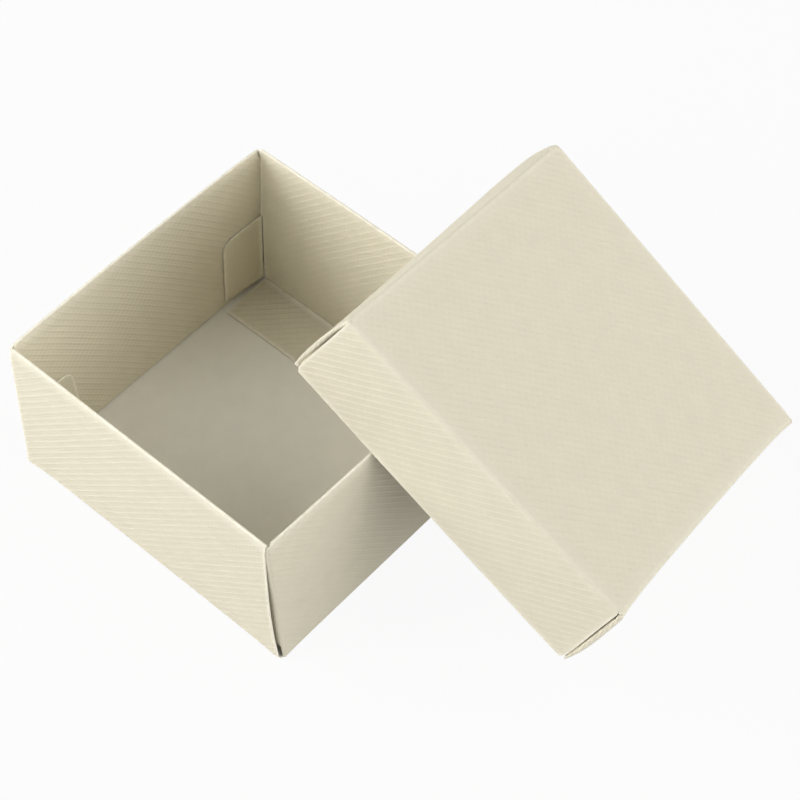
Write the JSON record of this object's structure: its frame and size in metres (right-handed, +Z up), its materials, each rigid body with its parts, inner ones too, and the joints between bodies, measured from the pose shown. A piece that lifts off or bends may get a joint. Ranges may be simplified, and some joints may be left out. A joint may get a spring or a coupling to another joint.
{
  "type": "gift box with lid",
  "caption": "Square gift box folded from board: a double-walled tray with ears and foot flaps, and a matching lift-off lid leaning on its rim.",
  "frame": {"origin": "centre of the tray's underside", "axes": "+X to the tray's right along its front wall, +Y from its front to its back, +Z up"},
  "size_m": [0.216, 0.1788, 0.1135],
  "materials": {
    "embossed_board": "ivory board, fine diagonal embossing, matt",
    "plain_board": "uncoated off-white back of the same board, smooth and matt"
  },
  "bodies": {
    "tray": {"tray_back_left_flap": "embossed_board", "tray_back_right_flap": "embossed_board", "tray_back_wall": "embossed_board", "tray_floor": "plain_board", "tray_front_left_flap": "embossed_board", "tray_front_right_flap": "embossed_board", "tray_front_wall": "embossed_board", "tray_left_inner": "embossed_board", "tray_left_wall": "embossed_board", "tray_right_inner": "embossed_board", "tray_right_wall": "embossed_board"},
    "lid": {"lid_back_left_flap": "embossed_board", "lid_back_right_flap": "embossed_board", "lid_back_wall": "embossed_board", "lid_front_left_flap": "embossed_board", "lid_front_right_flap": "embossed_board", "lid_front_wall": "embossed_board", "lid_left_inner": "embossed_board", "lid_left_wall": "embossed_board", "lid_right_inner": "embossed_board", "lid_right_wall": "embossed_board", "lid_top": "embossed_board"},
    "tray_front_inner": {"tray_front_inner": "embossed_board"},
    "tray_front_foot": {"tray_front_foot": "embossed_board"},
    "tray_front_left_ear": {"tray_front_left_ear": "embossed_board"},
    "tray_front_right_ear": {"tray_front_right_ear": "embossed_board"},
    "tray_back_inner": {"tray_back_inner": "embossed_board"},
    "tray_back_foot": {"tray_back_foot": "embossed_board"},
    "tray_back_left_ear": {"tray_back_left_ear": "embossed_board"},
    "tray_back_right_ear": {"tray_back_right_ear": "embossed_board"},
    "lid_back_inner": {"lid_back_inner": "embossed_board"},
    "lid_back_foot": {"lid_back_foot": "embossed_board"},
    "lid_back_left_ear": {"lid_back_left_ear": "embossed_board"},
    "lid_back_right_ear": {"lid_back_right_ear": "embossed_board"},
    "lid_front_inner": {"lid_front_inner": "embossed_board"},
    "lid_front_foot": {"lid_front_foot": "embossed_board"},
    "lid_front_left_ear": {"lid_front_left_ear": "embossed_board"},
    "lid_front_right_ear": {"lid_front_right_ear": "embossed_board"}
  },
  "joints": [
    {"name": "lid_lift", "type": "slide", "parent": "tray", "child": "lid", "axis": [0, 0, 1], "range_m": [0, 0.075]},
    {"name": "tray_front_roll", "type": "hinge", "parent": "tray", "child": "tray_front_inner", "pos_m": [0, -0.0579, 0.0684], "axis": [1, 0, 0], "range_deg": [0, 60]},
    {"name": "tray_front_foot_lift", "type": "hinge", "parent": "tray_front_inner", "child": "tray_front_foot", "pos_m": [0, -0.0576, 0.0013], "axis": [1, 0, 0], "range_deg": [0, 80]},
    {"name": "tray_front_left_ear_swing", "type": "hinge", "parent": "tray_front_inner", "child": "tray_front_left_ear", "pos_m": [-0.0579, -0.0576, 0.0016], "axis": [0, 0, 1], "range_deg": [-80, 0]},
    {"name": "tray_front_right_ear_swing", "type": "hinge", "parent": "tray_front_inner", "child": "tray_front_right_ear", "pos_m": [0.0579, -0.0576, 0.0016], "axis": [0, 0, -1], "range_deg": [-80, 0]},
    {"name": "tray_back_roll", "type": "hinge", "parent": "tray", "child": "tray_back_inner", "pos_m": [0, 0.0579, 0.0684], "axis": [1, 0, 0], "range_deg": [-60, 0]},
    {"name": "tray_back_foot_lift", "type": "hinge", "parent": "tray_back_inner", "child": "tray_back_foot", "pos_m": [0, 0.0576, 0.0013], "axis": [1, 0, 0], "range_deg": [-80, 0]},
    {"name": "tray_back_left_ear_swing", "type": "hinge", "parent": "tray_back_inner", "child": "tray_back_left_ear", "pos_m": [-0.0579, 0.0576, 0.0016], "axis": [0, 0, 1], "range_deg": [0, 80]},
    {"name": "tray_back_right_ear_swing", "type": "hinge", "parent": "tray_back_inner", "child": "tray_back_right_ear", "pos_m": [0.0579, 0.0576, 0.0016], "axis": [0, 0, -1], "range_deg": [0, 80]},
    {"name": "lid_back_roll", "type": "hinge", "parent": "lid", "child": "lid_back_inner", "pos_m": [0.07103, 0.10745, 0.03069], "axis": [0.8878, -0.0155, -0.4599], "range_deg": [0, 30]},
    {"name": "lid_back_foot_lift", "type": "hinge", "parent": "lid_back_inner", "child": "lid_back_foot", "pos_m": [0.08442, 0.11539, 0.05808], "axis": [0.8879, -0.0155, -0.4598], "range_deg": [0, 80]},
    {"name": "lid_back_left_ear_swing", "type": "hinge", "parent": "lid_back_inner", "child": "lid_back_left_ear", "pos_m": [0.03007, 0.11583, 0.08418], "axis": [-0.4241, -0.2612, -0.8671], "range_deg": [-80, 0]},
    {"name": "lid_back_right_ear_swing", "type": "hinge", "parent": "lid_back_inner", "child": "lid_back_right_ear", "pos_m": [0.13852, 0.11479, 0.03145], "axis": [0.4241, 0.2612, 0.8671], "range_deg": [-80, 0]},
    {"name": "lid_front_roll", "type": "hinge", "parent": "lid", "child": "lid_front_inner", "pos_m": [0.08391, -0.00896, 0.05947], "axis": [0.9101, -0.0017, -0.4143], "range_deg": [-30, 0]},
    {"name": "lid_front_foot_lift", "type": "hinge", "parent": "lid_front_inner", "child": "lid_front_foot", "pos_m": [0.09723, -0.00044, 0.08671], "axis": [0.9101, -0.0018, -0.4144], "range_deg": [-80, 0]},
    {"name": "lid_front_left_ear_swing", "type": "hinge", "parent": "lid_front_inner", "child": "lid_front_left_ear", "pos_m": [0.04288, 0, 0.11282], "axis": [-0.4241, -0.2612, -0.8671], "range_deg": [0, 80]},
    {"name": "lid_front_right_ear_swing", "type": "hinge", "parent": "lid_front_inner", "child": "lid_front_right_ear", "pos_m": [0.15133, -0.00104, 0.06008], "axis": [0.4241, 0.2612, 0.8671], "range_deg": [0, 80]}
  ]
}
